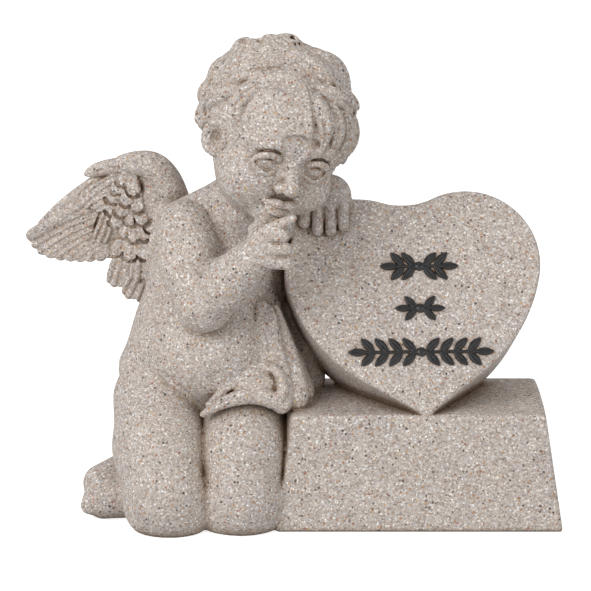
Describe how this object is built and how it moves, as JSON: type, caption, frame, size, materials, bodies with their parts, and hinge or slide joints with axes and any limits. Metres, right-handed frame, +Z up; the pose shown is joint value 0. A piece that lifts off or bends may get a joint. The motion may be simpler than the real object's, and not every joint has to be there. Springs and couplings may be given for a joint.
{
  "type": "cherub figurine",
  "caption": "Stone-look cast resin cherub kneeling beside a tapered block and leaning on a heart with a painted leaf relief.",
  "frame": {"origin": "on the surface the figurine stands on, under the middle of its bounding box", "axes": "+Z up, -Y towards the front, +X from the cherub to the heart"},
  "size_m": [0.1711, 0.0902, 0.1558],
  "materials": {
    "stone_resin": "matte speckled sandstone look",
    "pin_steel": "drawn",
    "black_paint": "satin black paint"
  },
  "bodies": {
    "root": {"plinth": "stone_resin", "heart": "stone_resin", "heart_pins": "pin_steel", "torso": "stone_resin", "head": "stone_resin", "hair": "stone_resin", "neck_pin": "pin_steel", "right_leg": "stone_resin", "left_leg": "stone_resin", "figure_pins": "pin_steel", "limb_pins": "pin_steel", "right_arm": "stone_resin", "left_arm": "stone_resin", "right_wing": "stone_resin", "left_wing": "stone_resin", "sash": "stone_resin", "relief_top": "black_paint", "relief_middle": "black_paint", "relief_bottom": "black_paint"}
  },
  "joints": []
}
